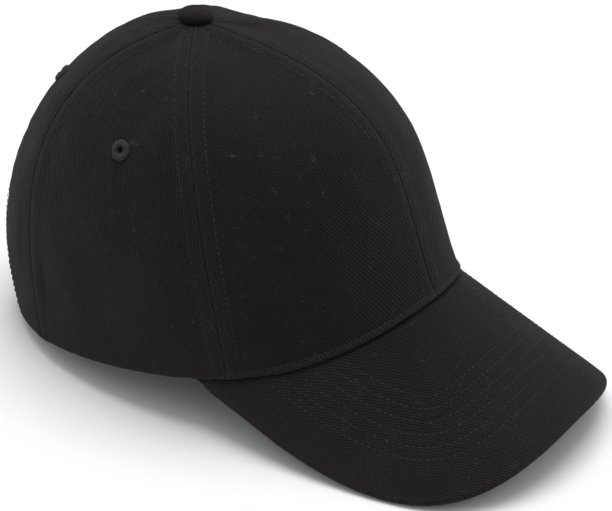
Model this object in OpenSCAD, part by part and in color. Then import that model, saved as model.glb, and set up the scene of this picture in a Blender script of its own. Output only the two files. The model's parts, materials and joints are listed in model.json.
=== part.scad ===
// Six-panel baseball cap with a stiff curved visor and a strap-and-clasp closure at the back.
// Crown frame: the rim lies near z = 0, the wearer faces -Y and the wearer's right is -X.
// rest() then stands the cap on a table: on its rear rim and the two low sides of the visor.

/* [Rim] */
// Half of the head opening's width, ear to ear
rim_half_width = 74.1; // [72:0.1:76]
// Half of the head opening's length, brow to back
rim_half_length = 107.5; // [105:0.1:110]
// How much further the back of the rim lies from the middle than the mean
rim_egg = 7.2; // [5:0.1:9]
// How much squarer the rim is than an oval
rim_square = 0.024; // [0.015:0.001:0.03]

/* [Crown] */
// Height of the button seat above the rim
crown_height = 129.1; // [118:0.1:134]
// How far behind the middle the button seat lies
apex_back = 2.3; // [0:0.1:4]
// How much flatter each panel is than the smooth dome, at its middle
panel_flatness = 1.6; // [0:0.1:2]
// Thickness of the panel twill
panel_thick = 0.9; // [0.7:0.1:0.9]
// Thickness of the stiffener behind the front panels
stiffener_thick = 0.6; // [0.4:0.1:0.6]
// Width of the tape that covers each seam inside
tape_width = 15; // [10:1:16]
// Height of the sweatband
sweatband_height = 32; // [28:1:34]

/* [Visor] */
// Radius that the visor is curved to
visor_radius = 74.5; // [73:0.1:78]
// Angle of the visor below the rim plane
visor_drop = 35.7; // [33:0.1:37]
// How much of that curve's depth the front edge keeps
visor_flatness = 0.742; // [0.7:0.002:0.8]
// Length of the visor's flat outline in front of its datum point
visor_length = 81.2; // [78:0.1:86]
// Half width of the visor's flat outline
visor_half_width = 114.6; // [112:0.1:115]
// Depth of the visor's flat outline behind its datum point
visor_wing = 61.9; // [58:0.1:65]
// How far round the rim the visor is sewn on, either way from the front, in degrees
visor_wrap = 70.3; // [68:0.1:72]
// Thickness of the board inside the visor
board_thick = 1.7; // [1.4:0.1:2]

/* [Button and eyelets] */
// Diameter of the covered button
button_d = 15; // [13:0.5:17]
// Height of the covered button
button_h = 5.4; // [4.5:0.1:6]
// Outer diameter of an embroidered eyelet
eyelet_d = 8; // [7:0.5:9]
// Diameter of the vent hole in an eyelet
eyelet_hole_d = 2.8; // [2:0.2:3.6]

/* [Closure] */
// Half of the angle that the back opening takes out of the rim
opening_angle = 35; // [33:0.5:36]
// Height of the back opening, as a fraction of the way up to the button
opening_rise = 0.29; // [0.26:0.01:0.31]
// Width of the size strap
strap_width = 18; // [16:1:18]
// Thickness of the size strap
strap_thick = 1.2; // [0.8:0.1:1.2]
// Radius that the strap lies on, at its outer face
strap_radius = 56.1; // [55.6:0.1:56.1]

/* [Resting pose] */
// Tilt of the cap on the table, front raised
rest_tilt = 10.35; // [9:0.05:11.5]

/* [Hidden] */
$fn = 48;

black_twill = [0.06, 0.055, 0.055];
black_tape = [0.09, 0.09, 0.09];
white_buckram = [0.85, 0.84, 0.8];
brass_plate = [0.55, 0.42, 0.2];

// Seams, in degrees round the crown from the centre front
front_seam = 0;
side_seam = 60;
rear_seam = 120;
centre_back = 180;
seam_gap = 0.06;

// How the seams spread round the rim and round the button, against even sixths
rim_spread = [7.5, 1.1];
apex_spread = [-4, 4];
// Each meridian is a cubic curve: a wall handle rises from the rim and a roof handle runs out
// from the button seat. Each list holds the mean and three waves round the crown.
wall_rise = [55.5, -7.6, 0, 1];
wall_lean = [0, -0.21, 0.02, -0.12];
roof_reach = [86.4, 21.5, -7.2, 7.5];
roof_fall = [0.02, 0.24, -0.07, 0.03];

visor_datum = [0, -96.1, 18.4];
visor_bluntness = 2.89;
cover_thick = 0.8;
board_inset = 1.4;
cover_inset = 0.3;
root_gap = 0.35;
layer_gap = 0.1;
visor_gap = 0.15;

crown_top = 0.985;
tape_thick = 0.6;
tape_depth = 1.9;
band_depth = 3.2;
band_depth_back = 6.0;
band_thick = 1.1;
rim_edge = 0.012;
opening_edge = centre_back - opening_angle;
eyelet_side_at = [86, 0.605];
eyelet_back_at = [153, 0.63];

strap_centre = [0, 55];
strap_mid_z = 10.5;
strap_start = -46;
strap_end = 65;
clasp_wall = 1.2;
clasp_room = 0.4;
clasp_start = -35.6;
clasp_end = -12.5;
bar_at = -33.4;
pin_at = -28;
pin_r = 0.9;
pin_clearance = 0.06;
barrel_r = 2.2;
plate_room = 0.3;
pin_radius = strap_radius + barrel_r + 0.6;
strap_low = strap_mid_z - strap_width / 2;
strap_high = strap_mid_z + strap_width / 2;
strap_inside = strap_radius - strap_thick;
room_low = strap_low - clasp_room;
room_high = strap_high + clasp_room;

// Smooth helpers
function wave(c, a) = c[0] + c[1] * cos(a) + c[2] * cos(2 * a) + c[3] * cos(3 * a);
function spread(s, a) = a + s[0] * sin(a) + s[1] * sin(2 * a);
function ease(x) = let (c = max(0, min(1, x))) c * c * (3 - 2 * c);
function soft_max0(a) = (a + sqrt(a * a + 9)) / 2;
function steps(a, b, n) = [for (i = [0:n]) a + (b - a) * i / n];

// Height of the visor's top surface over a point of the rim's plan
function visor_z(x, y) = let (
    reach = 0.93 * visor_radius,
    inner = min(abs(x), reach),
    steep = reach / sqrt(pow(visor_radius, 2) - pow(reach, 2)),
    fall = sqrt(pow(visor_radius, 2) - inner * inner) - visor_radius - (abs(x) - inner) * steep)
  visor_datum[2] - tan(visor_drop) * (visor_datum[1] - y) + fall / cos(visor_drop);

// The rim, raised at the front to sit on the visor
function rim_point(a) = let (
    turn = spread(rim_spread, a),
    square = 1 + rim_square * pow(sin(2 * turn), 2),
    x = -rim_half_width * sin(turn) * square,
    y = -(rim_half_length - rim_egg * cos(turn)) * cos(turn) * square,
    front = ease((cos(turn) - 0.12) / 0.33))
  [x, y, front * soft_max0(visor_z(x, y))];
function rim_out(a) = let (
    turn = spread(rim_spread, a),
    n = [-sin(turn) / rim_half_width, -cos(turn) / rim_half_length, 0])
  n / norm(n);

// A point of the crown's outer face: a is the angle round, t runs from rim (0) to button (1)
apex = [0, apex_back, crown_height];
function crown_face(a, t) = let (
    p0 = rim_point(a),
    rise = wave(wall_rise, a),
    p1 = p0 + rim_out(a) * rise * wave(wall_lean, a) + [0, 0, rise],
    way = spread(apex_spread, a),
    reach = wave(roof_reach, a),
    p2 = apex + reach * [-sin(way), -cos(way), -wave(roof_fall, a)],
    flat = -panel_flatness * (1 - cos(6 * a)) * 2 * t * (1 - t),
    u = 1 - t)
  u * u * u * p0 + 3 * t * u * u * p1 + 3 * t * t * u * p2 + t * t * t * apex
  + flat * (rim_out(a) + [0, 0, t]);
function along(a, t) = crown_face(a + 0.5, t) - crown_face(a - 0.5, t);
function up_face(a, t) = crown_face(a, t + 0.005) - crown_face(a, t - 0.005);
function out_of(a, t) = let (n = cross(up_face(a, t), along(a, t))) n / norm(n);
function crown_point(a, t, depth) = crown_face(a, t) - depth * out_of(a, t);

// A closed slab between two grids of points
module slab(outer, inner) {
  rows = len(outer);
  cols = len(outer[0]);
  all = rows * cols;
  function at(side, i, j) = side * all + i * cols + j;
  points = [for (grid = [outer, inner]) for (row = grid) for (p = row) p];
  faces = [
    for (i = [0:rows - 2]) for (j = [0:cols - 2]) each [
      [at(0, i, j), at(0, i, j + 1), at(0, i + 1, j + 1)],
      [at(0, i, j), at(0, i + 1, j + 1), at(0, i + 1, j)],
      [at(1, i, j), at(1, i + 1, j + 1), at(1, i, j + 1)],
      [at(1, i, j), at(1, i + 1, j), at(1, i + 1, j + 1)]],
    for (i = [0:rows - 2]) each [
      [at(0, i, 0), at(0, i + 1, 0), at(1, i + 1, 0)],
      [at(0, i, 0), at(1, i + 1, 0), at(1, i, 0)],
      [at(0, i, cols - 1), at(1, i + 1, cols - 1), at(0, i + 1, cols - 1)],
      [at(0, i, cols - 1), at(1, i, cols - 1), at(1, i + 1, cols - 1)]],
    for (j = [0:cols - 2]) each [
      [at(0, 0, j), at(1, 0, j + 1), at(0, 0, j + 1)],
      [at(0, 0, j), at(1, 0, j), at(1, 0, j + 1)],
      [at(0, rows - 1, j), at(0, rows - 1, j + 1), at(1, rows - 1, j + 1)],
      [at(0, rows - 1, j), at(1, rows - 1, j + 1), at(1, rows - 1, j)]]];
  polyhedron(points, faces, convexity = 8);
}

// Where the resting cap's lowest and outermost points are, so that it stands on z = 0
function tilted(p) = [p[0], p[1] * cos(rest_tilt) + p[2] * sin(rest_tilt),
                      p[2] * cos(rest_tilt) - p[1] * sin(rest_tilt)];
visor_thick = 2 * cover_thick + board_thick + 2 * visor_gap;
visor_low = min([for (a = steps(0, visor_wrap - 0.8, 40)) tilted(visor_point(a, 1, visor_thick))[2]]);
clasp_out = strap_centre[1] + (pin_radius + 2) * cos(clasp_end);
clasp_low = tilted([0, clasp_out, room_low - clasp_wall])[2];
visor_tip = min([for (a = steps(0, 30, 10)) tilted(visor_edge(a))[1]]);
crown_back = max([for (t = steps(0, 0.5, 25)) tilted(crown_face(centre_back, t))[1]]);
rest_shift = [0, -(visor_tip + crown_back) / 2, -min(clasp_low, visor_low)];

module rest() {
  translate(rest_shift) rotate([-rest_tilt, 0, 0]) children();
}

module mirrored() {
  mirror([1, 0, 0]) children();
}

// Puts children on the crown's outer face, with +Z pointing out of it
module on_crown(at) {
  n = out_of(at[0], at[1]);
  translate(crown_face(at[0], at[1]))
    rotate([0, acos(n[2]), atan2(n[1], n[0])]) children();
}

// --- Crown ---

// The back panels stop at the arched opening: its half angle at a height t
function arch_angle(t) = t < opening_rise ? opening_angle * sqrt(1 - pow(t / opening_rise, 2)) : 0;

module crown_piece(a0, a1, t0, t1, depth, thick, cols = 12, rows = 22) {
  function grid(d) = [for (t = steps(t0, t1, rows)) [for (a = steps(a0, a1, cols)) crown_point(a, t, d)]];
  slab(grid(depth), grid(depth + thick));
}

module plain_panel(a0, a1) {
  crown_piece(a0 + seam_gap, a1 - seam_gap, 0, crown_top, 0, panel_thick);
}

module eyelet_hole(at) {
  on_crown(at) cylinder(r = eyelet_hole_d / 2 + 0.9, h = 6, center = true);
}

module front_panel() {
  color(black_twill) plain_panel(front_seam, side_seam);
}

module side_panel() {
  color(black_twill) difference() {
    plain_panel(side_seam, rear_seam);
    eyelet_hole(eyelet_side_at);
  }
}

module back_panel() {
  arch_rows = [for (u = steps(0, 87, 12)) opening_rise * sin(u)];
  rows = concat(arch_rows, steps(opening_rise * 1.01, crown_top, 15));
  function grid(d) = [for (t = rows)
    [for (a = steps(rear_seam + seam_gap, centre_back - seam_gap - arch_angle(t), 10))
      crown_point(a, t, d)]];
  color(black_twill) difference() {
    slab(grid(0), grid(panel_thick));
    eyelet_hole(eyelet_back_at);
  }
}

module front_stiffener() {
  color(white_buckram)
    crown_piece(front_seam + 0.8, side_seam - 0.8, 0.02, 0.86, panel_thick + layer_gap,
                stiffener_thick, 12, 22);
}

// One tape runs up a seam, over the button seat and down the opposite seam
module seam_tape(seam, layer, t_start, t_far) {
  half = tape_width / 2;
  stack = layer * (tape_thick + layer_gap);
  function depth(t) = tape_depth + stack * ease((t - 0.72) / 0.2);
  function row(a, t, side, extra) = let (reach = half / norm(along(a, t)))
    [for (k = [-1, 0, 1]) crown_point(a + side * k * reach, t, depth(t) + extra)];
  function grid(extra) = concat(
    [for (t = steps(t_start, 0.94, 16)) row(seam, t, 1, extra)],
    [for (t = steps(0.94, t_far, 16)) row(seam + 180, t, -1, extra)]);
  color(black_tape) difference() {
    slab(grid(0), grid(tape_thick));
    on_crown([0, 0.999]) cylinder(r = 1.9, h = 16, center = true);
  }
}

module eyelet() {
  hole = eyelet_hole_d / 2;
  color(black_tape) rotate_extrude() polygon([
    [hole, 0.5], [hole + 0.5, 0.75], [eyelet_d / 2 - 0.4, 0.6], [eyelet_d / 2, 0.15],
    [hole + 0.7, 0.15], [hole + 0.7, -panel_thick - 0.35], [eyelet_d / 2 - 0.6, -panel_thick - 0.35],
    [eyelet_d / 2 - 0.9, -panel_thick - 0.65], [hole, -panel_thick - 0.65]]);
}

// --- Button ---

module button_place() {
  lean = atan(roof_fall[1]);
  translate(apex) rotate([lean, 0, 0]) translate([0, 0, 0.5]) children();
}

// Half section of a dome with a rolled rim
function dome(r, h, n) = [for (i = [0:n]) [r * cos(90 * i / n), h * (0.25 + 0.75 * sin(90 * i / n))]];

module button_cover() {
  r = button_d / 2;
  skin = 0.6;
  color(black_twill) button_place() rotate_extrude() polygon(concat(
    [[r - 1.6, 0], [r - 0.4, 0.3]], dome(r, button_h, 10),
    [[0, button_h - skin]], [for (i = [9:-1:0]) dome(r - skin, button_h - skin, 10)[i]],
    [[r - 1.6, 0.35]]));
}

module button_shell() {
  r = button_d / 2 - 0.7;
  top = button_h - 0.7;
  skin = 0.5;
  color(brass_plate) button_place() rotate_extrude() polygon(concat(
    [[r - 0.3, 1]], dome(r, top, 10), [[0, top - skin]],
    [for (i = [9:-1:0]) dome(r - skin, top - skin, 10)[i]], [[r - skin - 0.3, 1]]));
}

module button_rivet() {
  color(brass_plate) button_place() {
    translate([0, 0, -8]) cylinder(r = 1.5, h = button_h + 6.6);
    translate([0, 0, -8.6]) cylinder(r = 5, h = 0.7);
  }
}

// --- Visor ---

// The visor is ruled by straight lines from the rim to a curved front edge. The edge is a blunt
// outline, flat in (s, v), wrapped on a flattened cylinder that drops away from the rim.
function visor_edge(a) = let (
    side = -rim_point(a)[0] / -rim_point(visor_wrap)[0],
    turn = asin(side * sin(0.995 * visor_half_width / visor_radius * 180 / PI)),
    s = turn * PI / 180 * visor_radius,
    blunt = pow(1 - pow(abs(s) / visor_half_width, visor_bluntness), 1 / visor_bluntness),
    v = -visor_wing + (visor_length + visor_wing) * blunt,
    sag = visor_flatness * visor_radius * (cos(turn) - 1))
  visor_datum + [-visor_radius * sin(turn), -v * cos(visor_drop) - sag * sin(visor_drop),
                 -v * sin(visor_drop) + sag * cos(visor_drop)];
function visor_root(a) = rim_point(a) - panel_thick * rim_out(a) - [0, 0, root_gap];
// a is the angle round the rim, k runs from the root (0) to the front edge (1)
function visor_face(a, k) = visor_root(a) * (1 - k) + visor_edge(a) * k;
function visor_up(a, k) = let (
    n = cross(visor_face(a + 0.5, k) - visor_face(a - 0.5, k), visor_edge(a) - visor_root(a)))
  n / norm(n);
function visor_point(a, k, depth) = visor_face(a, k) - depth * visor_up(a, k);

module visor_layer(depth, thick, inset) {
  full = visor_wrap - 0.6 - cover_inset * 0.6;
  wrap = visor_wrap - 0.6 - inset * 0.6;
  // The columns crowd towards the two ends, where the outline turns its corners
  across = [for (i = [-22:22]) full * (0.1 * i / 22 + 0.9 * sin(90 * i / 22))];
  columns = [for (a = across) max(-wrap, min(wrap, a))];
  function last(a) = 1 - inset / norm(visor_edge(a) - visor_root(a));
  function grid(d) = [for (k = steps(0, 1, 6)) [for (a = columns) visor_point(a, k * last(a), d)]];
  slab(grid(depth + thick), grid(depth));
}

module visor_top_cover() {
  color(black_twill) visor_layer(0, cover_thick, cover_inset);
}

module visor_board() {
  color(white_buckram) visor_layer(cover_thick + visor_gap, board_thick, board_inset);
}

module visor_under_cover() {
  color(black_twill) visor_layer(cover_thick + board_thick + 2 * visor_gap, cover_thick, cover_inset);
}

// --- Sweatband and trim ---

// Height fraction up the crown that is a given height above the rim
band_top = 0.0061 * sweatband_height;
function band_depth_at(a) = band_depth + (band_depth_back - band_depth) * ease((abs(a) - 96) / 22);

module band(a0, a1, t0, t1, extra, thick, cols) {
  function grid(d) = [for (t = steps(t0, t1, 4)) [for (a = steps(a0, a1, cols))
    crown_point(a, t, band_depth_at(a) + d)]];
  slab(grid(extra), grid(extra + thick));
}

module sweatband() {
  edge = opening_edge - 2.5;
  color(black_tape) band(-edge, edge, rim_edge, band_top, 0, band_thick, 64);
}

// Narrow binding along the top of the sweatband
module sweatband_tape() {
  edge = opening_edge - 2.5;
  color(black_twill) band(-edge, edge, band_top - 0.03, band_top, band_thick + layer_gap, 0.5, 64);
}

// Soft strip over the brow, behind the sweatband
module sweat_pad() {
  color(white_buckram) crown_piece(-42, 42, 0.03, band_top - 0.03, 2.6, 0.45, 24, 4);
}

module care_label() {
  color(white_buckram) crown_piece(-111, -99, band_top + 0.02, band_top + 0.16, 1.1, 0.3, 3, 4);
}

// Folded strip sewn inside the edge of the back opening, above the strap
module opening_facing() {
  wide = 9;
  tall = 0.075;
  rise = opening_rise * 1.04;
  start = asin(0.14 / rise);
  function edge(k, u) = [centre_back + (opening_angle + 0.6 + k * wide) * cos(u),
                         (rise + k * tall) * sin(u)];
  function grid(d) = [for (k = [1, 0.5, 0]) [for (u = steps(180 - start, start, 44))
    crown_point(edge(k, u)[0], edge(k, u)[1], d)]];
  color(black_tape) slab(grid(panel_thick + 0.3), grid(panel_thick + 0.7));
}

// --- Closure, all of it round the strap's own axis ---

// Ring segment about the strap axis, between two angles from the centre back towards the left
module arc(r0, r1, z0, z1, a0, a1) {
  translate([strap_centre[0], strap_centre[1], z0])
    rotate([0, 0, 90 - a1]) rotate_extrude(angle = a1 - a0, $fn = 120)
      translate([r0, 0]) square([r1 - r0, z1 - z0]);
}

// Puts children at a radius and an angle of the strap's circle, +Z along its axis
module on_strap(r, a, z = 0) {
  translate([strap_centre[0] + r * sin(a), strap_centre[1] + r * cos(a), z]) children();
}

module size_strap() {
  color(black_twill) arc(strap_inside, strap_radius, strap_low, strap_high, strap_start, strap_end);
}

// Short strap sewn inside the right back panel, folded round the clasp's bar
module strap_tab() {
  bar_r = pin_radius + 0.1;
  loop_r = 2.1;
  thick = 1;
  color(black_twill) difference() {
    union() {
      arc(bar_r - loop_r + 0.1, bar_r - loop_r + 0.7, strap_low + 0.1, strap_high - 0.1, -51, bar_at);
      on_strap(bar_r, bar_at, strap_low) cylinder(r = loop_r, h = strap_width);
    }
    on_strap(bar_r, bar_at, strap_low - 1) cylinder(r = loop_r - thick, h = strap_width + 2);
  }
}

module clasp_frame() {
  plate_out = strap_inside - plate_room;
  color(brass_plate) {
    arc(plate_out - 1, plate_out, room_low - clasp_wall, room_high + clasp_wall, clasp_start, clasp_end);
    for (z = [room_low - clasp_wall, room_high]) difference() {
      arc(plate_out - 1, pin_radius + 2, z, z + clasp_wall, clasp_start, clasp_end);
      on_strap(pin_radius, pin_at, z - 1) cylinder(r = pin_r + 0.02, h = clasp_wall + 2);
    }
    on_strap(pin_radius + 0.1, bar_at, room_low) cylinder(r = 1, h = room_high - room_low);
  }
}

module clasp_pin() {
  color(brass_plate) on_strap(pin_radius, pin_at, room_low - clasp_wall - 0.3)
    cylinder(r = pin_r, h = room_high - room_low + 2 * clasp_wall + 0.6);
}

// Cam lever: a barrel round the pin, and a plate that closes over the strap
module clasp_lever() {
  low = room_low + plate_room;
  high = room_high - plate_room;
  color(brass_plate) difference() {
    union() {
      on_strap(pin_radius, pin_at, low) cylinder(r = barrel_r, h = high - low);
      arc(pin_radius - 0.4, pin_radius + 0.8, low + 0.1, high - 0.1, pin_at + 1.5, clasp_end + 1);
      arc(pin_radius, pin_radius + 1.8, low + 4, high - 4, clasp_end - 0.2, clasp_end + 0.8);
    }
    on_strap(pin_radius, pin_at, low - 1) cylinder(r = pin_r + pin_clearance, h = high - low + 2);
  }
}

rest() front_panel();  // front_panel_right
rest() mirrored() front_panel();  // front_panel_left
rest() side_panel();  // side_panel_right
rest() mirrored() side_panel();  // side_panel_left
rest() back_panel();  // back_panel_right
rest() mirrored() back_panel();  // back_panel_left
rest() front_stiffener();  // front_stiffener_right
rest() mirrored() front_stiffener();  // front_stiffener_left
rest() seam_tape(0, 0, 0.03, opening_rise + 0.03);  // seam_tape_centre
rest() seam_tape(60, 1, 0.03, 0.03);  // seam_tape_right_to_left
rest() seam_tape(-60, 2, 0.03, 0.03);  // seam_tape_left_to_right
rest() on_crown(eyelet_side_at) eyelet();  // eyelet_side_right
rest() mirrored() on_crown(eyelet_side_at) eyelet();  // eyelet_side_left
rest() on_crown(eyelet_back_at) eyelet();  // eyelet_back_right
rest() mirrored() on_crown(eyelet_back_at) eyelet();  // eyelet_back_left
rest() button_cover();
rest() button_shell();
rest() button_rivet();
rest() visor_top_cover();
rest() visor_board();
rest() visor_under_cover();
rest() sweatband();
rest() sweatband_tape();
rest() sweat_pad();
rest() care_label();
rest() opening_facing();
rest() strap_tab();
rest() size_strap();
rest() clasp_frame();
rest() clasp_pin();
rest() clasp_lever();
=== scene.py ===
import json
import math

import bpy
import numpy as np
from mathutils import Matrix, Vector
from mathutils.kdtree import KDTree


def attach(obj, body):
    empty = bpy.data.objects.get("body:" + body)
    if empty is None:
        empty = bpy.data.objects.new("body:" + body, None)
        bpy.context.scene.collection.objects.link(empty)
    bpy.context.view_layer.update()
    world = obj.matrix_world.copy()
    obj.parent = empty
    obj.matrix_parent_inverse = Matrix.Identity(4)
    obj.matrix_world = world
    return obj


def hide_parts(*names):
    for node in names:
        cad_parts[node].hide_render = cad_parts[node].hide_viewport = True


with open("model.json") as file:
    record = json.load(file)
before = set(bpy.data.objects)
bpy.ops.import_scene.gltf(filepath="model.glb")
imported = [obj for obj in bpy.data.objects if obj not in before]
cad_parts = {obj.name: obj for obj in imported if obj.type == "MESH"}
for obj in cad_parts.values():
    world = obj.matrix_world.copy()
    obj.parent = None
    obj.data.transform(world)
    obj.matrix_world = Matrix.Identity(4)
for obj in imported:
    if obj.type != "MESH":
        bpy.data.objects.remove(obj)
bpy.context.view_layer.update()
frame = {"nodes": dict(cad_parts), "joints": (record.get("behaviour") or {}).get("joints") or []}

# Lengths are millimetres in the crown's own frame, as in the CAD source: the rim lies near z = 0,
# the wearer faces -Y and the wearer's right is -X. Angles round the crown are degrees from the
# centre front towards the right. place() stands a point on the table, in metres.

SCENE = bpy.context.scene

# --- The crown's and the visor's shape, with the CAD source's values ---

# The rim's half width and half length, how much blunter it is in front, and how square it is
RIM_HALF_WIDTH, RIM_HALF_LENGTH, RIM_EGG, RIM_SQUARE = 74.1, 107.5, 7.2, 0.024
# Where the rim starts to rise onto the visor and how gently, as cosines, and how rounded it is
RIM_FRONT_FROM, RIM_FRONT_BLEND, RIM_BLEND = 0.12, 0.33, 3
# How many degrees the seams are moved round at the rim and at the top
RIM_SPREAD, APEX_SPREAD = (7.5, 1.1), (-4, 4)
# Each line from the rim to the top is a cubic curve. Round the crown: how high its first handle
# stands and leans out, and how far its second handle reaches from the top and falls
WALL_RISE, WALL_LEAN = (55.5, -7.6, 0, 1), (0, -0.21, 0.02, -0.12)
ROOF_REACH, ROOF_FALL = (86.4, 21.5, -7.2, 7.5), (0.02, 0.24, -0.07, 0.03)
APEX = np.array([0, 2.3, 129.1])
PANEL_FLATNESS, PANEL_THICK = 1.6, 0.9
PANEL_SPAN, SEAMS = 60, (0, 60, 120, 180, -120, -60)
SIDES = (("right", 1), ("left", -1))
CROWN_TOP = 0.985
# The visor's cylinder and slope, and the blunt outline that is wrapped on the flattened cylinder
VISOR_RADIUS, VISOR_DROP, VISOR_FLATNESS = 74.5, math.radians(35.7), 0.742
VISOR_LENGTH, VISOR_HALF_WIDTH, VISOR_WING, VISOR_BLUNT = 81.2, 114.6, 61.9, 2.89
VISOR_WRAP, VISOR_THICK = 70.3, 3.6
VISOR_DATUM = np.array([0, -96.1, 18.4])
# The back opening's half width in degrees, and its height as a share of a panel's
OPENING_ANGLE, OPENING_RISE = 35, 0.29
# The eyelets' angles and heights on the crown
EYELETS = {"side": (86, 0.605), "back": (153, 0.63)}
STRAP_CENTRE, STRAP_RADIUS = np.array([0, 55, 10.5]), 56.1

# The strap turns about an upright axis of the crown's frame, so its axis gives the tilt at rest
JOINTS = {j["name"]: j for j in frame["joints"]}
REST_TILT = math.atan2(JOINTS["strap_slide"]["axis"][1], JOINTS["strap_slide"]["axis"][2])


def tilted(p):
    """Turned about X to the cap's tilt at rest."""
    p = np.asarray(p, float)
    c, s = math.cos(REST_TILT), math.sin(REST_TILT)
    return np.stack([p[..., 0], p[..., 1] * c + p[..., 2] * s, p[..., 2] * c - p[..., 1] * s], -1)


REST_SHIFT = np.array(JOINTS["strap_slide"]["pos_m"]) * 1000 - tilted(STRAP_CENTRE)


def place(p):
    """Crown frame, millimetres, to row frame, metres."""
    return (tilted(p) + REST_SHIFT) / 1000


def wave(c, a):
    """A value that changes smoothly round the crown, as a short sum of cosines."""
    a = np.radians(a)
    return c[0] + c[1] * np.cos(a) + c[2] * np.cos(2 * a) + c[3] * np.cos(3 * a)


def spread(s, a):
    """The angle a, moved so that the panels get their uneven widths."""
    return a + s[0] * np.sin(np.radians(a)) + s[1] * np.sin(np.radians(2 * a))


def ease(x):
    c = np.clip(x, 0, 1)
    return c * c * (3 - 2 * c)


def unit(v):
    return v / np.maximum(np.linalg.norm(v, axis=-1, keepdims=True), 1e-9)


def visor_height(x, y):
    """Height of the visor's top surface over a point of the rim's plan. It is a cylinder's, whose
    steep sides go on straight."""
    reach = 0.93 * VISOR_RADIUS
    inner = np.minimum(abs(x), reach)
    steep = reach / math.sqrt(VISOR_RADIUS**2 - reach**2)
    fall = np.sqrt(VISOR_RADIUS**2 - inner**2) - VISOR_RADIUS - (abs(x) - inner) * steep
    return VISOR_DATUM[2] - math.tan(VISOR_DROP) * (VISOR_DATUM[1] - y) + fall / math.cos(VISOR_DROP)


def rim_turn(a):
    return np.radians(spread(RIM_SPREAD, a))


def rim_front(a):
    """1 round the front of the rim, where it is raised onto the visor, and 0 round the back."""
    return ease((np.cos(rim_turn(a)) - RIM_FRONT_FROM) / RIM_FRONT_BLEND)


def rim_point(a):
    turn = rim_turn(a)
    square = 1 + RIM_SQUARE * np.sin(2 * turn) ** 2
    x = -RIM_HALF_WIDTH * np.sin(turn) * square
    y = -(RIM_HALF_LENGTH - RIM_EGG * np.cos(turn)) * np.cos(turn) * square
    d = visor_height(x, y)
    return np.stack([x, y, rim_front(a) * (d + np.sqrt(d * d + RIM_BLEND**2)) / 2], -1)


def rim_out(a):
    """The level way out from the rim."""
    turn = rim_turn(a)
    x, y = -np.sin(turn) / RIM_HALF_WIDTH, -np.cos(turn) / RIM_HALF_LENGTH
    return unit(np.stack([x, y, 0 * turn], -1))


def crown_face(a, t):
    """The crown's outer face: a is the angle round, t runs from the rim (0) to the button (1)."""
    a, t = np.broadcast_arrays(np.asarray(a, float), np.asarray(t, float))
    up = np.zeros(a.shape + (3,))
    up[..., 2] = 1
    p0 = rim_point(a)
    rise = wave(WALL_RISE, a)[..., None]
    p1 = p0 + rim_out(a) * rise * wave(WALL_LEAN, a)[..., None] + up * rise
    way = np.radians(spread(APEX_SPREAD, a))
    run = np.stack([-np.sin(way), -np.cos(way), -wave(ROOF_FALL, a)], -1)
    p2 = APEX + wave(ROOF_REACH, a)[..., None] * run
    flat = (-PANEL_FLATNESS * (1 - np.cos(np.radians(6 * a))) * 2 * t * (1 - t))[..., None]
    t = t[..., None]
    u = 1 - t
    curve = u**3 * p0 + 3 * t * u * u * p1 + 3 * t * t * u * p2 + t**3 * APEX
    return curve + flat * (rim_out(a) + up * t)


def crown_along(a, t):
    """Millimetres per degree round the crown, as a vector."""
    return crown_face(a + 0.5, t) - crown_face(a - 0.5, t)


def crown_normal(a, t):
    return unit(np.cross(crown_face(a, t + 0.004) - crown_face(a, t - 0.004), crown_along(a, t)))


def visor_edge(a):
    """The visor's outline: a blunt curve wrapped round a flattened cylinder."""
    side = rim_point(a)[..., 0] / rim_point(VISOR_WRAP)[..., 0]
    turn = np.arcsin(side * math.sin(0.995 * VISOR_HALF_WIDTH / VISOR_RADIUS))
    s = turn * VISOR_RADIUS
    blunt = (1 - (abs(s) / VISOR_HALF_WIDTH) ** VISOR_BLUNT) ** (1 / VISOR_BLUNT)
    v = -VISOR_WING + (VISOR_LENGTH + VISOR_WING) * blunt
    sag = VISOR_FLATNESS * VISOR_RADIUS * (np.cos(turn) - 1)
    c, d = math.cos(VISOR_DROP), math.sin(VISOR_DROP)
    edge = np.stack([-VISOR_RADIUS * np.sin(turn), -v * c - sag * d, -v * d + sag * c], -1)
    return VISOR_DATUM + edge


def visor_root(a):
    """Where the visor's top face meets the crown's inside, just under the rim."""
    down = np.array([0, 0, 0.35])
    return rim_point(a) - PANEL_THICK * rim_out(a) - down


def visor_face(a, k):
    """The visor's top face: k runs from the root (0) to the front edge (1) along straight lines."""
    k = np.asarray(k, float)[..., None]
    return visor_root(a) * (1 - k) + visor_edge(a) * k


def visor_normal(a, k):
    across = visor_face(a + 0.2, k) - visor_face(a - 0.2, k)
    return unit(np.cross(across, visor_edge(a) - visor_root(a)))


# --- Small tools ---

SHARP_ANGLE = math.radians(70)
STITCH_LENGTH, STITCH_GAP, THREAD_RADIUS = 2.1, 0.6, 0.17
RIPPLE = ((3.1, 0.5), (5.3, 0.6), (9.0, 0.5), (17.0, 0.4))


def bump(x, centre, width):
    return np.exp(-(((x - centre) / width) ** 2))


def ripple(x, seed):
    """A repeatable uneven line: a sum of sines, each (wavelength, weight)."""
    rng = np.random.default_rng(seed)
    return sum(w * np.sin(2 * np.pi * x / l + rng.uniform(0, 6.3)) for l, w in RIPPLE)


def crumple(u, v, seed, low, high):
    """A repeatable soft unevenness of cloth, about -1 to 1, with wavelengths from low to high."""
    rng = np.random.default_rng(seed)
    total, count = 0, 14
    for _ in range(count):
        way, size, phase = rng.uniform(0, np.pi), rng.uniform(low, high), rng.uniform(0, 6.3)
        total = total + np.sin(2 * np.pi * (u * np.cos(way) + v * np.sin(way)) / size + phase)
    return total / math.sqrt(count)


def turned_uv(u, v, degrees):
    """Flat cloth coordinates, turned so that the first one runs across the wales."""
    c, s = math.cos(math.radians(degrees)), math.sin(math.radians(degrees))
    return np.stack([u * c - v * s, u * s + v * c], -1)


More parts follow.
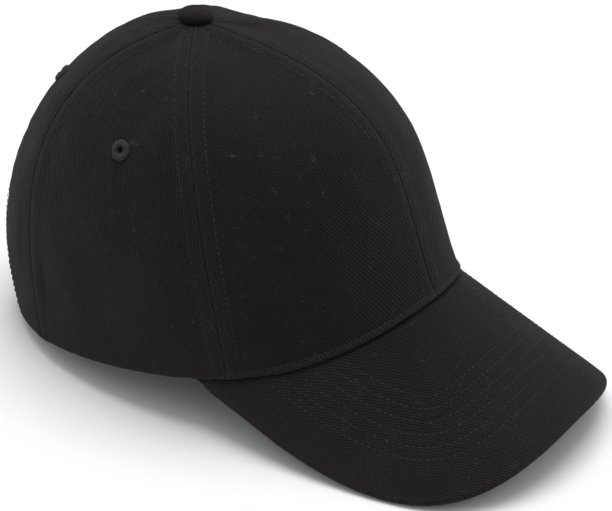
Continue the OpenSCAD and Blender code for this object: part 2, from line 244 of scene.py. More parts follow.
def distances(points, outline):
    """How far each point of a grid is from the nearest point of an outline."""
    tree = KDTree(len(outline))
    for i, point in enumerate(outline):
        tree.insert(point, i)
    tree.balance()
    far = [tree.find(point)[2] for point in points.reshape(-1, 3)]
    return np.array(far).reshape(points.shape[:-1])


def arc_length(points):
    """Distance along a line at each of its points."""
    steps = np.linalg.norm(np.diff(points, axis=0), axis=1)
    return np.concatenate([[0], np.cumsum(steps)])


def mesh_piece(name, points, faces, uv, body="cap", wear_and_highlight=None):
    """A smooth-shaded mesh piece from points in the crown frame, riding on a CAD body. The optional
    last argument is how much lighter the cloth is painted at each point, 0 to 1: rubbing and painted
    highlight."""
    mesh = bpy.data.meshes.new(name)
    mesh.from_pydata(place(points).tolist(), [], faces)
    corner = np.empty(len(mesh.loops), np.int32)
    mesh.loops.foreach_get("vertex_index", corner)
    weave = mesh.uv_layers.new(name="weave")
    weave.data.foreach_set("uv", uv[corner].astype(np.float32).ravel())
    if wear_and_highlight is not None:
        rubbed_and_lit = mesh.attributes.new("wear_and_highlight", "FLOAT", "POINT")
        rubbed_and_lit.data.foreach_set("value", wear_and_highlight.astype(np.float32))
    mesh.validate()
    mesh.shade_smooth()
    mesh.set_sharp_from_angle(angle=SHARP_ANGLE)
    piece = bpy.data.objects.new(name, mesh)
    SCENE.collection.objects.link(piece)
    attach(piece, body)
    return piece


def slab(name, outer, inner, uv, body="cap", wear_and_highlight=None):
    """A closed piece between two grids of points."""
    rows, cols = outer.shape[:2]
    top, far = rows - 1, cols - 1

    def at(side, i, j):
        return (side * rows + i) * cols + j

    faces = []
    for i in range(top):
        for j in range(far):
            faces.append((at(0, i, j), at(0, i + 1, j), at(0, i + 1, j + 1), at(0, i, j + 1)))
            faces.append((at(1, i, j), at(1, i, j + 1), at(1, i + 1, j + 1), at(1, i + 1, j)))
    for j in range(far):
        faces.append((at(0, 0, j), at(0, 0, j + 1), at(1, 0, j + 1), at(1, 0, j)))
        faces.append((at(0, top, j), at(1, top, j), at(1, top, j + 1), at(0, top, j + 1)))
    for i in range(top):
        faces.append((at(0, i, 0), at(1, i, 0), at(1, i + 1, 0), at(0, i + 1, 0)))
        faces.append((at(0, i, far), at(0, i + 1, far), at(1, i + 1, far), at(1, i, far)))
    points = np.concatenate([outer.reshape(-1, 3), inner.reshape(-1, 3)])
    if wear_and_highlight is not None:
        wear_and_highlight = np.concatenate([np.clip(wear_and_highlight, 0, 1).ravel(), np.zeros(wear_and_highlight.size)])
    return mesh_piece(name, points, faces, np.concatenate([uv.reshape(-1, 2)] * 2), body, wear_and_highlight)


# --- Materials ---


class Nodes:
    """A material's node tree, with short calls for the nodes that cloth needs."""

    def __init__(self, name):
        self.material = bpy.data.materials.new(name)
        self.material.use_nodes = True
        self.tree = self.material.node_tree
        self.shader = self.tree.nodes["Principled BSDF"]

    def add(self, kind, inputs=(), **values):
        """A new node with the given properties, and with values or links for its inputs, by name."""
        node = self.tree.nodes.new(kind)
        for key, value in values.items():
            setattr(node, key, value)
        for key, value in dict(inputs).items():
            self.set(node.inputs[key], value)
        return node

    def set(self, socket, value):
        if isinstance(value, bpy.types.NodeSocket):
            self.tree.links.new(value, socket)
        else:
            socket.default_value = value

    def math(self, operation, *values):
        node = self.add("ShaderNodeMath", operation=operation)
        for socket, value in zip(node.inputs, values):
            self.set(socket, value)
        return node.outputs[0]

    def uv(self):
        return self.add("ShaderNodeUVMap", uv_map="weave").outputs[0]

    def place(self):
        return self.add("ShaderNodeTexCoord").outputs["Object"]

    def split(self, vector):
        return self.add("ShaderNodeSeparateXYZ", {"Vector": vector}).outputs

    def add_to(self, vector, offset):
        node = self.add("ShaderNodeVectorMath", operation="ADD")
        self.set(node.inputs[0], vector)
        self.set(node.inputs[1], (offset, offset, offset))
        return node.outputs[0]

    def noise(self, vector, scale, detail=2.0, roughness=0.5):
        inputs = {"Vector": vector, "Scale": scale, "Detail": detail, "Roughness": roughness}
        return self.add("ShaderNodeTexNoise", inputs).outputs[0]

    def bands(self, value, pitch):
        """A smooth wave, 0 to 1, of the given pitch along a coordinate."""
        turn = self.math("MULTIPLY", value, 2 * math.pi / pitch)
        return self.math("MULTIPLY_ADD", self.math("SINE", turn), 0.5, 0.5)

    def between(self, value, low, high):
        """0 below low, 1 above high and smooth between them."""
        inputs = {"Value": value, "From Min": low, "From Max": high}
        return self.add("ShaderNodeMapRange", inputs, interpolation_type="SMOOTHSTEP").outputs[0]

    def mix(self, share, a, b):
        node = self.add("ShaderNodeMix", data_type="RGBA")
        for place, value in ((0, share), (6, a), (7, b)):
            self.set(node.inputs[place], value)
        return node.outputs[2]

    def finish(self, colour, height=None, depth=0.0, strength=1.0, **values):
        """Set the shader's inputs, with the height as bumps of the given depth in metres."""
        values = {"Base Color": colour, **values}
        if height is not None:
            inputs = {"Strength": strength, "Distance": depth, "Height": height}
            values["Normal"] = self.add("ShaderNodeBump", inputs).outputs[0]
        for key, value in values.items():
            self.set(self.shader.inputs[key], value)
        return self.material


def rgb(r, g, b):
    return (r, g, b, 1.0)


def lint(n, uv, colour):
    """Specks of lint and short curled fibres lying on the cloth."""
    speck = n.between(n.noise(uv, 1.7, 1.0, 0.6), 0.66, 0.74)
    curl = n.math("ABSOLUTE", n.math("SUBTRACT", n.noise(uv, 0.42, 1.0), 0.5))
    fibre = n.math("SUBTRACT", 1.0, n.between(curl, 0.002, 0.013))
    patch = n.between(n.noise(n.add_to(uv, 31.7), 0.19, 0.0), 0.69, 0.73)
    fibre = n.math("MULTIPLY", fibre, patch)
    colour = n.mix(n.math("MULTIPLY", speck, 0.16), colour, rgb(0.15, 0.145, 0.15))
    return n.mix(n.math("MULTIPLY", fibre, 0.14), colour, rgb(0.26, 0.25, 0.26))


def twill(name, dark, light, pitch=1.3, linty=True):
    """Brushed cotton twill. The piece's UV map is in millimetres, across and along the wales."""
    n = Nodes(name)
    uv, spot = n.uv(), n.place()
    x, y, _ = n.split(uv)
    across = n.math("ADD", x, n.math("MULTIPLY", n.noise(uv, 0.06), 0.9))
    wale = n.bands(across, pitch)
    pick = n.bands(n.math("MULTIPLY_ADD", across, 0.5, y), pitch * 0.62)
    brushed = n.between(n.noise(uv, 0.55, 4.0, 0.75), 0.25, 0.75)
    wale = n.math("MULTIPLY", wale, n.math("MULTIPLY_ADD", brushed, 0.75, 0.3))
    yarn = n.math("MULTIPLY", wale, n.math("MULTIPLY_ADD", pick, 0.5, 0.5))
    grain = n.noise(uv, 2.1, 3.0, 0.8)
    height = n.math("MULTIPLY_ADD", grain, 1.1, yarn)
    patchy = n.noise(spot, 34.0, 3.0)
    worn = n.math("ADD", n.math("MULTIPLY", patchy, 0.3), n.math("MULTIPLY", yarn, 0.6))
    worn = n.math("ADD", worn, n.math("MULTIPLY_ADD", grain, 1.5, -0.62))
    colour = n.mix(n.between(worn, 0.2, 0.85), dark, light)
    # Painted highlight and rubbing: where the point attribute is high the cloth is painted lighter.
    # This covers seam folds and bands, the front welt, the rim's edge and the visor's edge, and it
    # adds painted light over the visor's right half.
    rubbed_and_lit = n.add("ShaderNodeAttribute", attribute_name="wear_and_highlight").outputs["Fac"]
    rubbed_and_lit = n.math("MULTIPLY", rubbed_and_lit, n.between(n.noise(uv, 0.8, 3.0, 0.7), 0.3, 0.7))
    colour = n.mix(n.math("MULTIPLY", rubbed_and_lit, n.math("MULTIPLY_ADD", yarn, 0.5, 0.5)), colour,
                   rgb(0.060, 0.053, 0.049))
    if linty:
        colour = lint(n, uv, colour)
    return n.finish(colour, height, 0.0006, Roughness=0.85, **{
        "Specular IOR Level": 0.14, "Sheen Weight": 0.045, "Sheen Roughness": 0.3,
        "Sheen Tint": rgb(0.9, 0.92, 1)})


def plain_thread(name, colour, scale, uneven):
    """Thread with fibres of the given scale that are up to that many times as light."""
    n = Nodes(name)
    fibre = n.noise(n.place(), scale)
    tone = n.mix(n.between(fibre, 0.3, 0.7), colour, rgb(*(c * uneven for c in colour[:3])))
    return n.finish(tone, fibre, 0.00008, 0.6, Roughness=0.7, **{
        "Specular IOR Level": 0.2, "Sheen Weight": 0.05, "Sheen Roughness": 0.4})


def woven(name, dark, light, pitch, depth=0.0001, **values):
    """Plain weave, with the piece's UV map in millimetres."""
    n = Nodes(name)
    x, y, _ = n.split(n.uv())
    over = n.math("MULTIPLY", n.bands(x, pitch), n.bands(y, pitch))
    fuzz = n.noise(n.uv(), 3.0, 3.0, 0.6)
    height = n.math("MULTIPLY_ADD", fuzz, 0.4, over)
    values = {"Roughness": 0.85, "Specular IOR Level": 0.2, **values}
    return n.finish(n.mix(n.between(height, 0.1, 1.1), dark, light), height, depth, 0.8, **values)


def metal(name, colour, worn, roughness):
    """Plated or plain metal with a fine grain and darker, duller tarnish in patches."""
    n = Nodes(name)
    spot = n.place()
    tarnish = n.between(n.noise(spot, 260.0, 4.0, 0.65), 0.42, 0.7)
    roughness = n.math("MULTIPLY_ADD", tarnish, 0.2, roughness)
    return n.finish(n.mix(tarnish, colour, worn), n.noise(spot, 4200.0, 3.0), 0.00003, 0.5,
                    Metallic=1.0, Roughness=roughness)


def board(name):
    """Pale moulded plastic board."""
    n = Nodes(name)
    grain = n.noise(n.place(), 900.0, 3.0)
    tone = n.mix(grain, rgb(0.7, 0.7, 0.68), rgb(0.8, 0.8, 0.78))
    return n.finish(tone, grain, 0.00005, 0.5, Roughness=0.5)


BLACK_TWILL = twill("black_twill", rgb(0.0038, 0.0026, 0.0023), rgb(0.0158, 0.0122, 0.0112))
BAND_TWILL = twill("band_twill", rgb(0.0045, 0.0036, 0.0035), rgb(0.0165, 0.0145, 0.014), 0.7, False)
BLACK_TAPE = woven("black_tape", rgb(0.008, 0.0075, 0.008), rgb(0.034, 0.033, 0.034), 0.55)
BUCKRAM = woven("buckram", rgb(0.30, 0.29, 0.27), rgb(0.82, 0.81, 0.77), 1.3, 0.0003)
FELT = woven("pad_felt", rgb(0.55, 0.54, 0.51), rgb(0.78, 0.77, 0.74), 0.4)
SATIN = woven("label_satin", rgb(0.62, 0.62, 0.60), rgb(0.85, 0.85, 0.83), 0.25, 0.00003,
              Roughness=0.4, **{"Specular IOR Level": 0.5})
BLACK_THREAD = plain_thread("black_thread", rgb(0.0180, 0.0162, 0.0158), 2500.0, 1.7)
RING_THREAD = plain_thread("eyelet_thread", rgb(0.0125, 0.0122, 0.0128), 1100.0, 2.9)
BRASS = metal("antique_brass", rgb(0.36, 0.27, 0.13), rgb(0.10, 0.065, 0.035), 0.32)
STEEL = metal("plain_steel", rgb(0.6, 0.6, 0.58), rgb(0.42, 0.42, 0.41), 0.3)
BOARD = board("visor_board")


def paint(piece, material):
    """Give a piece its one material."""
    piece.data.materials.clear()
    piece.data.materials.append(material)
    return piece


def thread(name, lines, body="cap"):
    """Rows of stitches. Each line is (points, normals); each stitch is a short bent capsule that
    dives into the cloth at both ends."""
    share = np.array([0, 0.12, 0.3, 0.5, 0.7, 0.88, 1])
    fat = np.array([0.35, 0.8, 1, 1.05, 1, 0.8, 0.35]) * THREAD_RADIUS
    lift = np.array([-1.8, -0.6, 0.3, 0.5, 0.3, -0.6, -1.8]) * THREAD_RADIUS
    sides = 6
    ring = np.linspace(0, 2 * np.pi, sides, endpoint=False)
    points, faces, count = [], [], 0
    for line, normal in lines:
        along = arc_length(line)
        starts = np.arange(0.3, along[-1] - STITCH_LENGTH, STITCH_LENGTH + STITCH_GAP)
        s = starts[:, None] + share * STITCH_LENGTH
        centre, out = (np.stack([np.interp(s, along, values[:, k]) for k in range(3)], -1)
                       for values in (line, normal))
        out = unit(out)
        way = unit(np.gradient(centre, axis=1))
        side = unit(np.cross(way, out))
        centre = centre + out * lift[None, :, None]
        circle = side[:, :, None] * np.cos(ring)[:, None] + out[:, :, None] * np.sin(ring)[:, None]
        points.append((centre[:, :, None] + circle * fat[None, :, None, None]).reshape(-1, 3))
        for _ in starts:
            for i in range(len(share) - 1):
                low = count + i * sides
                for j in range(sides):
                    k = (j + 1) % sides
                    faces.append((low + j, low + k, low + sides + k, low + sides + j))
            last = count + (len(share) - 1) * sides
            faces.append(tuple(range(count + sides - 1, count - 1, -1)))
            faces.append(tuple(range(last, last + sides)))
            count += len(share) * sides
    points = np.concatenate(points)
    piece = mesh_piece(name, points, faces, np.zeros((len(points), 2)), body)
    return paint(piece, BLACK_THREAD)


# --- Crown panels ---

STITCH_OFFSET = 6.0
SEAM_COLUMNS = np.array([0.03, 0.2, 0.5, 0.9, 1.3, 1.9, 2.8, 3.8, 4.6, 5.1, 5.5, 5.8, 6.1, 6.4,
                         6.8, 7.3, 7.9, 8.7, 9.8, 11.2])
HEM_STITCH, HEM_DROP = 2.95, 0.3
NARROW, CROWN_CLIMB, HEM_END, WELT_END, FAR = 9, 172, 0.033, 64, 99
HEM_ROWS = np.array([0, 0.12, 0.3, 0.55, 0.85, 1.2, 1.6, 2.0, 2.35, 2.65, 2.95, 3.25, 3.6, 4.1, 4.8])


def squeeze(width):
    """How much the rows beside a seam draw together where a panel gets narrower than 9 mm."""
    return (1 + (NARROW / width) ** 8) ** (-1 / 8)


def seam_relief(d0, d1, along, seed):
    """Height of the cloth over the dome at d0 and d1 millimetres from its two seams: a fold, then a
    band over the pressed-open allowance, drawn down by a row of stitches, then the plain cloth."""
    relief, band = 0, 0
    for i, d in enumerate((d0, d1)):
        pucker = 1 + 0.3 * ripple(along, seed + i)
        relief = relief - 0.42 * np.clip(1 - d / 0.7, 0, 1) ** 2
        relief = relief - 0.22 * bump(d, STITCH_OFFSET, 0.8) * pucker
        raised = 0.38 * (1 - ease((d - 6.2) / 1.9)) + 0.12 * bump(d, 3.0, 2.0) * pucker
        band = np.maximum(band, raised)
    return relief + band


def seam_wear_and_highlight(d):
    """How much lighter the cloth is painted beside a seam: a painted highlight, most on the fold's
    edge and less on the raised band.
    """
    return 0.26 * bump(d, 0.9, 0.55) + 0.07 * (1 - ease((d - 6.0) / 2.5))


def hem_relief(e, front, along, seed):
    """Height near the rim, e millimetres up from it. The front edge is a round stitched welt."""
    plain = -0.8 * np.clip(1 - e / 1.1, 0, 1) ** 2
    bead = 0.7 * np.sin(np.pi * np.clip((e + 0.3) / 3.2, 0, 1)) ** 0.8
    welt = bead - 1.3 * np.clip(1 - e / 0.8, 0, 1) ** 2 - 0.2 * bump(e, HEM_STITCH, 0.5)
    return plain * (1 - front) + front * welt * (1 + 0.12 * ripple(along, seed))


def panel_columns(width):
    """Places across a panel, 0 to 1, crowded beside each seam."""
    beside = SEAM_COLUMNS * min(1, width / 26) / width
    inner = np.linspace(beside[-1], 1 - beside[-1], 26)[1:-1]
    return np.concatenate([beside, inner, 1 - beside[::-1]])


def panel_rows(arch):
    """Places up a panel, 0 to 1, crowded beside the rim or at the top of the back opening."""
    if arch:
        low = OPENING_RISE * np.sin(np.linspace(0, np.pi / 2, 46))
        return np.concatenate([low, np.linspace(OPENING_RISE, CROWN_TOP, 110)[1:]])
    return np.concatenate([HEM_ROWS / CROWN_CLIMB, np.linspace(HEM_END, CROWN_TOP, 140)])


def panel_grid(a0, a1, arch):
    """A panel's points: their places on the crown, millimetres up from the rim, across from the
    middle and from each seam, and how much the rows beside the seams draw together."""
    rows = panel_rows(arch)
    mid = (a0 + a1) / 2
    line = np.linspace(0, 1, 200)
    height = np.interp(rows, line, arc_length(crown_face(mid, line)))
    half_open = OPENING_ANGLE * np.sqrt(np.clip(1 - (rows / OPENING_RISE) ** 2, 0, 1))
    ends = a1 - half_open if arch else np.full(len(rows), a1)
    widths = (ends - a0) * np.linalg.norm(crown_along(mid, rows), axis=-1)
    share = np.stack([panel_columns(w) for w in widths])
    a = a0 + share * (ends - a0)[:, None]
    t, up = (np.repeat(x[:, None], a.shape[1], 1) for x in (rows, height))
    per_degree = np.linalg.norm(crown_along(a, t), axis=-1)
    near = squeeze(widths)[:, None]
    d0, d1 = (x * per_degree / near for x in (a - a0, ends[:, None] - a))
    return a, t, up, (a - mid) * per_degree, d0, d1, near


def panel(name, a0, a1, wale, soft, seed, sign, arch):
    """One crown panel between the seams at a0 and a1, on the wearer's right (sign 1) or left (sign
    -1). wale is the twill's angle, soft is how uneven the cloth is, and arch leaves out the back
    opening."""
    a, t, up, across, d0, d1, near = panel_grid(a0, a1, arch)
    relief = seam_relief(d0, d1, up, seed)
    if arch:
        open_edge = seam_relief(d0, FAR, up, seed) - 0.7 * np.clip(1 - d1 / 1.1, 0, 1) ** 2
        relief = np.where(t > OPENING_RISE, relief, open_edge)
    front = rim_front(a) * ease((WELT_END - a) / 3)
    relief = relief + hem_relief(up, front, across, seed + 2)
    calm = ease(np.minimum(d0, d1) / 14) * ease(up / 14) * near
    relief = relief + soft * calm * crumple(across, up, seed + 3, 26, 70)
    relief = relief + 0.25 * soft * calm * crumple(across, up, seed + 4, 8, 20)
    # Painted highlight with some rubbing: the cloth is painted lighter on each seam's fold and raised
    # band, on the top of the front welt and along the rim's edge.
    wear_and_highlight = np.maximum(seam_wear_and_highlight(d0), seam_wear_and_highlight(d1))
    wear_and_highlight = wear_and_highlight + 0.3 * front * bump(up, 1.9, 1.0) + 0.16 * bump(up, 0.6, 0.8)
    p, normal = crown_face(a, t), crown_normal(a, t)
    p[..., 2] -= HEM_DROP * front * (1 - ease(up / 1.6))
    outer, inner = p + normal * relief[..., None], p - normal * PANEL_THICK
    uv = turned_uv(across, up, wale) + seed * 7.3
    if sign < 0:
        outer, inner, uv, wear_and_highlight = (x[:, ::-1] for x in (outer, inner, uv, wear_and_highlight))
        outer, inner = outer * [-1, 1, 1], inner * [-1, 1, 1]
    return paint(slab(name, outer, inner, uv, wear_and_highlight=wear_and_highlight), BLACK_TWILL)


def crown():
    """The six panels. Each row says the kind, its seams, its wale, its softness, whether the back
    opening cuts it, its flat size with the share of it that is cloth, and what it is stretched on."""
    kinds = (("front", 0, 60, 32, 0.25, False, (112, 190, 0.65), "front_stiffener_{}"),
             ("side", 60, 120, 12, 0.5, False, (118, 190, 0.66), "front_panel_{}"),
             ("back", 120, 180, 24, 0.5, True, (112, 185, 0.60), "side_panel_{}"))
    seed = 1
    for kind, a0, a1, wale, soft, arch, (width, length, share), support in kinds:
        for side, sign in SIDES:
            piece = panel(f"{kind}_panel_{side}_cloth", a0, a1, wale, soft, seed, sign, arch)
            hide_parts(f"{kind}_panel_{side}")
            seed += 10


def seam_threads():
    """A row of stitches on each side of every crown seam."""
    low, high = 0.012, 0.972
    rows = np.linspace(low, high, 500)
    for seam in SEAMS:
        start = OPENING_RISE + low if seam == 180 else low
        t = rows[rows > start]
        lines = []
        for side in (-1, 1):
            mid = seam + side * PANEL_SPAN / 2
            near = squeeze(PANEL_SPAN * np.linalg.norm(crown_along(mid, t), axis=-1))
            per_degree = np.linalg.norm(crown_along(seam, t), axis=-1)
            a = seam + side * STITCH_OFFSET * near / per_degree
            normal = crown_normal(a, t)
            lines.append((crown_face(a, t) + normal * 0.2, normal))
        thread(f"topstitch_seam_{seam % 360}", lines)


def rim_threads():
    """The row of stitches along the welt over the visor."""
    a = np.linspace(-62, 62, 700)
    low = 0.02
    t = HEM_STITCH / np.linalg.norm(crown_face(a, low) - crown_face(a, 0.0), axis=-1) * low
    normal = crown_normal(a, t)
    thread("topstitch_visor_joint", [(crown_face(a, t) + normal * 0.12, normal)])


# --- Visor ---

VISOR_WALE = -25
VISOR_ROWS = 18.8 + 5.12 * np.arange(6)
VISOR_SKIN, BOARD_GAP = 0.8, 0.15
EDGE_R = VISOR_THICK / 2


def visor_fan():
    """The lines of the visor's grid, each from (a0, 0) at the root to (a1, k1) on the outline, in
    order from the left side, round the front, to the right side."""
    lean = 13
    corner = VISOR_WRAP - 0.6
    side = np.concatenate([np.linspace(0.04, 0.97, 34), [0.985]])
    front = corner * np.sin(np.linspace(-np.pi / 2, np.pi / 2, 215))
    a1 = np.concatenate([np.full(len(side), -corner), front, np.full(len(side), corner)])
    k1 = np.concatenate([side, np.ones(len(front)), side[::-1]])
    a0 = np.where(k1 < 1, np.sign(a1) * (corner - lean * k1), a1 * (corner - lean) / corner)
    return a0, a1, k1


def visor_piece():
    """The visor's face up to where it rolls over the board's edge: its points, normals, distances
    from the outline, ways out along the edge, angles and distances from the root."""
    a0, a1, k1 = visor_fan()
    q = np.linspace(0, 1, 96)[:, None]
    outline = visor_face(a1, k1)
    at = np.linspace(0, len(outline) - 1, len(outline) * 8)
    outline = np.stack([np.interp(at, np.arange(len(outline)), outline[:, i]) for i in range(3)], -1)
    away = distances(visor_face(a0 + (a1 - a0) * q, k1 * q), outline)
    stop = np.array([np.interp(EDGE_R, away[::-1, j], q[::-1, 0]) for j in range(len(a0))])
    q = q * stop
    a, k = a0 + (a1 - a0) * q, k1 * q
    face, normal = visor_face(a, k), visor_normal(a, k)
    out = unit(np.cross(normal[-1], unit(np.gradient(face[-1], axis=0))))
    root = k * np.linalg.norm(visor_edge(a) - visor_root(a), axis=-1)
    return face, normal, distances(face, outline), out, a, root


def row_distance(away, a):
    """Distance from the outline for the rows of stitches, which run squarer at the two corners."""
    return away + 1.2 * bump(abs(a), 38, 15)


def visor_relief(away, a, u, root):
    """Height of the top cloth: a soft roll between each two rows of stitches, and a crease where it
    goes in under the crown."""
    relief = 0.15 * ease((away - EDGE_R) / 5) - 0.55 * bump(root, 0, 1.9)
    for i, row in enumerate(VISOR_ROWS):
        relief = relief - 0.14 * bump(row_distance(away, a), row, 0.9) * (1 + 0.25 * ripple(u, 50 + i))
    return relief


def visor_uv(face, wale):
    """Flat cloth coordinates: round the curve and away from the datum, turned along the wales."""
    s = VISOR_RADIUS * np.arcsin(np.clip(-face[..., 0] / VISOR_RADIUS, -0.99, 0.99))
    v = -(face[..., 1] - VISOR_DATUM[1]) / math.cos(VISOR_DROP)
    return 1.2 * turned_uv(s, v, wale)


def visor():
    """The board between its two covers, which each roll half way over its edge."""
    face, normal, away, out, a, root = visor_piece()
    relief = visor_relief(away, a, visor_uv(face, 0)[..., 0], root)
    centre = face[-1] - normal[-1] * EDGE_R
    tuck = (0.1 + 0.9 * ease(root[-1] / 9))[:, None]

    def rolled(radius, angles):
        """The roll over the board's edge, which flattens where the visor goes in under the crown."""
        angles = np.radians(angles)[1:, None, None]
        return centre + radius * (out * tuck * np.sin(angles) + normal[-1] * np.cos(angles))

    def cover(near, far, angles):
        """The seen and the hidden face of a cover, each with its part of the roll."""
        seen = np.concatenate([near, rolled(EDGE_R, angles)])
        return seen, np.concatenate([far, rolled(EDGE_R - VISOR_SKIN, angles)])

    outer, inner = cover(face + normal * relief[..., None], face - normal * VISOR_SKIN,
                         np.linspace(0, 100, 12))
    uv = visor_uv(np.concatenate([face, outer[len(face):]]), VISOR_WALE)
    wear_and_highlight = np.zeros(uv.shape[:2])
    # Painted light: the wearer's right half of the visor is painted lighter towards its outline, as if
    # more light fell on it. The edge and its roll are painted lighter as rubbed cloth with painted
    # sheen.
    painted_light_right_half = ease((a + 25) / 60) * (1 - ease((away - 15) / 60))
    wear_and_highlight[:len(face)] = 0.2 * bump(away, EDGE_R, 1.2) + 0.26 * painted_light_right_half
    wear_and_highlight[len(face):] = 0.25 * bump(np.arange(len(outer) - len(face)), 3, 4)[:, None]
    top = slab("visor_top_cloth", outer, inner, uv, wear_and_highlight=wear_and_highlight)
    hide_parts("visor_top_cover")
    paint(top, BLACK_TWILL)
    depth = VISOR_THICK + 0.6 * relief - 0.2
    outer, inner = cover(face - normal * depth[..., None], face - normal * (VISOR_THICK - VISOR_SKIN),
                         np.linspace(180, 106, 10))
    low = slab("visor_under_cloth", inner, outer, visor_uv(outer, VISOR_WALE) + 40)
    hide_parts("visor_under_cover")
    paint(low, BLACK_TWILL)
    deep = VISOR_SKIN + BOARD_GAP
    piece = slab("visor_board_sheet", face - normal * deep, face - normal * (VISOR_THICK - deep),
                 visor_uv(face, 0))
    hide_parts("visor_board")
    paint(piece, BOARD)
    for piece, stitches in zip((top, low), visor_threads()):
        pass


def visor_threads():
    """The rows of stitches on the visor's top and underside, each parallel to its outline."""
    a = np.linspace(-VISOR_WRAP + 0.7, VISOR_WRAP - 0.7, 900)
    k = np.linspace(0, 1, 160)
    grid_a, grid_k = np.meshgrid(a, k)
    up = np.linspace(0, 1, 200)
    outline = np.concatenate([visor_face(a[:1].repeat(len(up)), up), visor_face(a, np.ones(len(a))),
                              visor_face(a[-1:].repeat(len(up)), up[::-1])])
    far = row_distance(distances(visor_face(grid_a, grid_k), outline), grid_a)
    above, below = [], []
    for row in VISOR_ROWS:
        inside = far[0] > row
        at = np.array([np.interp(row, far[::-1, j], k[::-1]) for j in np.flatnonzero(inside)])
        line, normal = visor_face(a[inside], at), visor_normal(a[inside], at)
        above.append((line + normal * 0.03, normal))
        below.append((line - normal * (VISOR_THICK + 0.02), -normal))
    return thread("visor_stitch_top", above), thread("visor_stitch_under", below)


# --- Button and eyelets ---

EYELET_RADIUS = 2.75
BUTTON_RADIUS, BUTTON_HEIGHT, BUTTON_SKIN = 7.2, 5.2, 0.38


def on_crown(a, t):
    """A point of the crown's face with its axes: across, up and out."""
    out, across = crown_normal(a, t), unit(crown_along(a, t))
    return crown_face(a, t), np.stack([across, np.cross(out, across), out])


def turned(name, profile, origin, axes, turns=96, ribs=0, swell=0.0, core=(0, 0), uv_scale=1.0):
    """A closed ring or shell: an outline of (radius, height) points turned about the third axis.
    ribs is how many uneven ribs swell out from its core, as embroidery does."""
    profile = np.array(profile, float)
    angle = np.linspace(0, 2 * np.pi, turns, endpoint=False)
    uneven = 0.35 * ripple(angle * 4, 11)
    rib = 1 + swell * (np.abs(np.sin(ribs * angle / 2 + uneven)) + 1.5 * uneven)
    r, z = (c + (profile[:, i:i + 1] - c) * rib for i, c in enumerate(core))
    local = np.stack([r * np.cos(angle), r * np.sin(angle), z], -1)
    points = origin + local @ axes
    rows = len(profile)
    faces = [(i * turns + j, i * turns + (j + 1) % turns, (i + 1) % rows * turns + (j + 1) % turns,
              (i + 1) % rows * turns + j) for i in range(rows) for j in range(turns)]
    uv = np.stack([r * np.cos(angle) + 0.7 * z, r * np.sin(angle) + 0.7 * z], -1) * uv_scale
    return mesh_piece(name, points.reshape(-1, 3), faces, uv.reshape(-1, 2))


def arc_points(r, z, radius, start, end, count):
    angles = np.radians(np.linspace(start, end, count))
    return [(r + radius * math.cos(x), z + radius * math.sin(x)) for x in angles]


def eyelets():
    """Embroidered vents: a raised ring of radial stitches round a hole, with a flat back."""
    outer = [(r, 0.9 * z) for r, z in arc_points(EYELET_RADIUS, 0, 1.35, 180, 0, 15)]
    inner = [(2.1, 0.05), (2.1, -1.25), (3.4, -1.25), (3.1, -1.55), (1.45, -1.55)]
    for kind, (a, t) in EYELETS.items():
        for side, sign in SIDES:
            origin, axes = on_crown(a, t)
            origin, axes = origin * [sign, 1, 1], axes * [sign, 1, 1]
            piece = turned(f"eyelet_{kind}_{side}_ring", outer + inner, origin, axes, turns=240,
                           ribs=26, swell=0.2, core=(EYELET_RADIUS, 0))
            paint(piece, RING_THREAD)
            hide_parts(f"eyelet_{kind}_{side}")


def button():
    """The covered button: a domed top and a drawn-in underside with small gathers."""
    lean = math.atan(ROOF_FALL[1])
    c, s = math.cos(lean), math.sin(lean)
    axes = np.array([[1, 0, 0], [0, c, s], [0, -s, c]])
    origin = APEX + 0.5 * axes[2]
    r, h, skin = BUTTON_RADIUS, BUTTON_HEIGHT, BUTTON_SKIN
    share = np.linspace(0, np.pi / 2, 22)
    dome = [(r * math.cos(x) ** 0.8, h * (0.42 + 0.58 * math.sin(x))) for x in share[:-1]]
    dome.append((0.05, h))
    under = [(r - 1.3, -0.1), (r - 0.75, 0.0), (r - 0.42, 0.3), (r - 0.2, 0.85), (r - 0.05, 1.5)]
    inside = [(max(x - skin, 0.05), y - skin) for x, y in reversed(dome)]
    profile = under + dome + inside + [(r - skin, 0.45)]
    piece = turned("button_cloth", profile, origin, axes, uv_scale=1.5)

    # The cloth is drawn in and out round the underside, more so the lower it is
    co = np.array([v.co for v in piece.data.vertices])
    middle = place(origin)
    up = unit(place(origin + axes[2]) - middle)
    rel = co - middle
    level = rel @ up * 1000
    flat = rel - np.outer(rel @ up, up)
    angle = np.arctan2(flat[:, 1], flat[:, 0])
    gather = 0.03 * (1 - ease((level - 0.4) / 2.4)) * np.sin(16 * angle + 1.3 * np.sin(3 * angle))
    co = co + flat * gather[:, None]
    piece.data.vertices.foreach_set("co", co.astype(np.float32).ravel())

    paint(piece, BLACK_TWILL)
    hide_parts("button_cover")


# --- Inside of the crown ---

TAPE_WIDTH, TAPE_THICK, TAPE_DEPTH = 15, 0.6, 1.9
BAND_TOP = 0.195
BAND_THICK = 1.1
BAND_END = 180 - OPENING_ANGLE - 2.5
BAND_RUN, BAND_CLIMB = 1.6, 165
STIFFENER_CLIMB = 175


def strip_uv(a, t):
    """Flat cloth coordinates near the rim, in millimetres."""
    return np.stack([a * BAND_RUN, t * BAND_CLIMB], -1)


def crown_strip(name, a, t, depth, thick, uv, material, node):
    """A strip of cloth that lies along the crown's inside at the given depths."""
    face, normal = crown_face(a, t), crown_normal(a, t)
    depth, thick = (np.broadcast_to(x, a.shape)[..., None] for x in (depth, thick))
    outer, inner = face - normal * depth, face - normal * (depth + thick)
    piece = paint(slab(name, outer, inner, uv), material)
    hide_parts(node)
    return piece


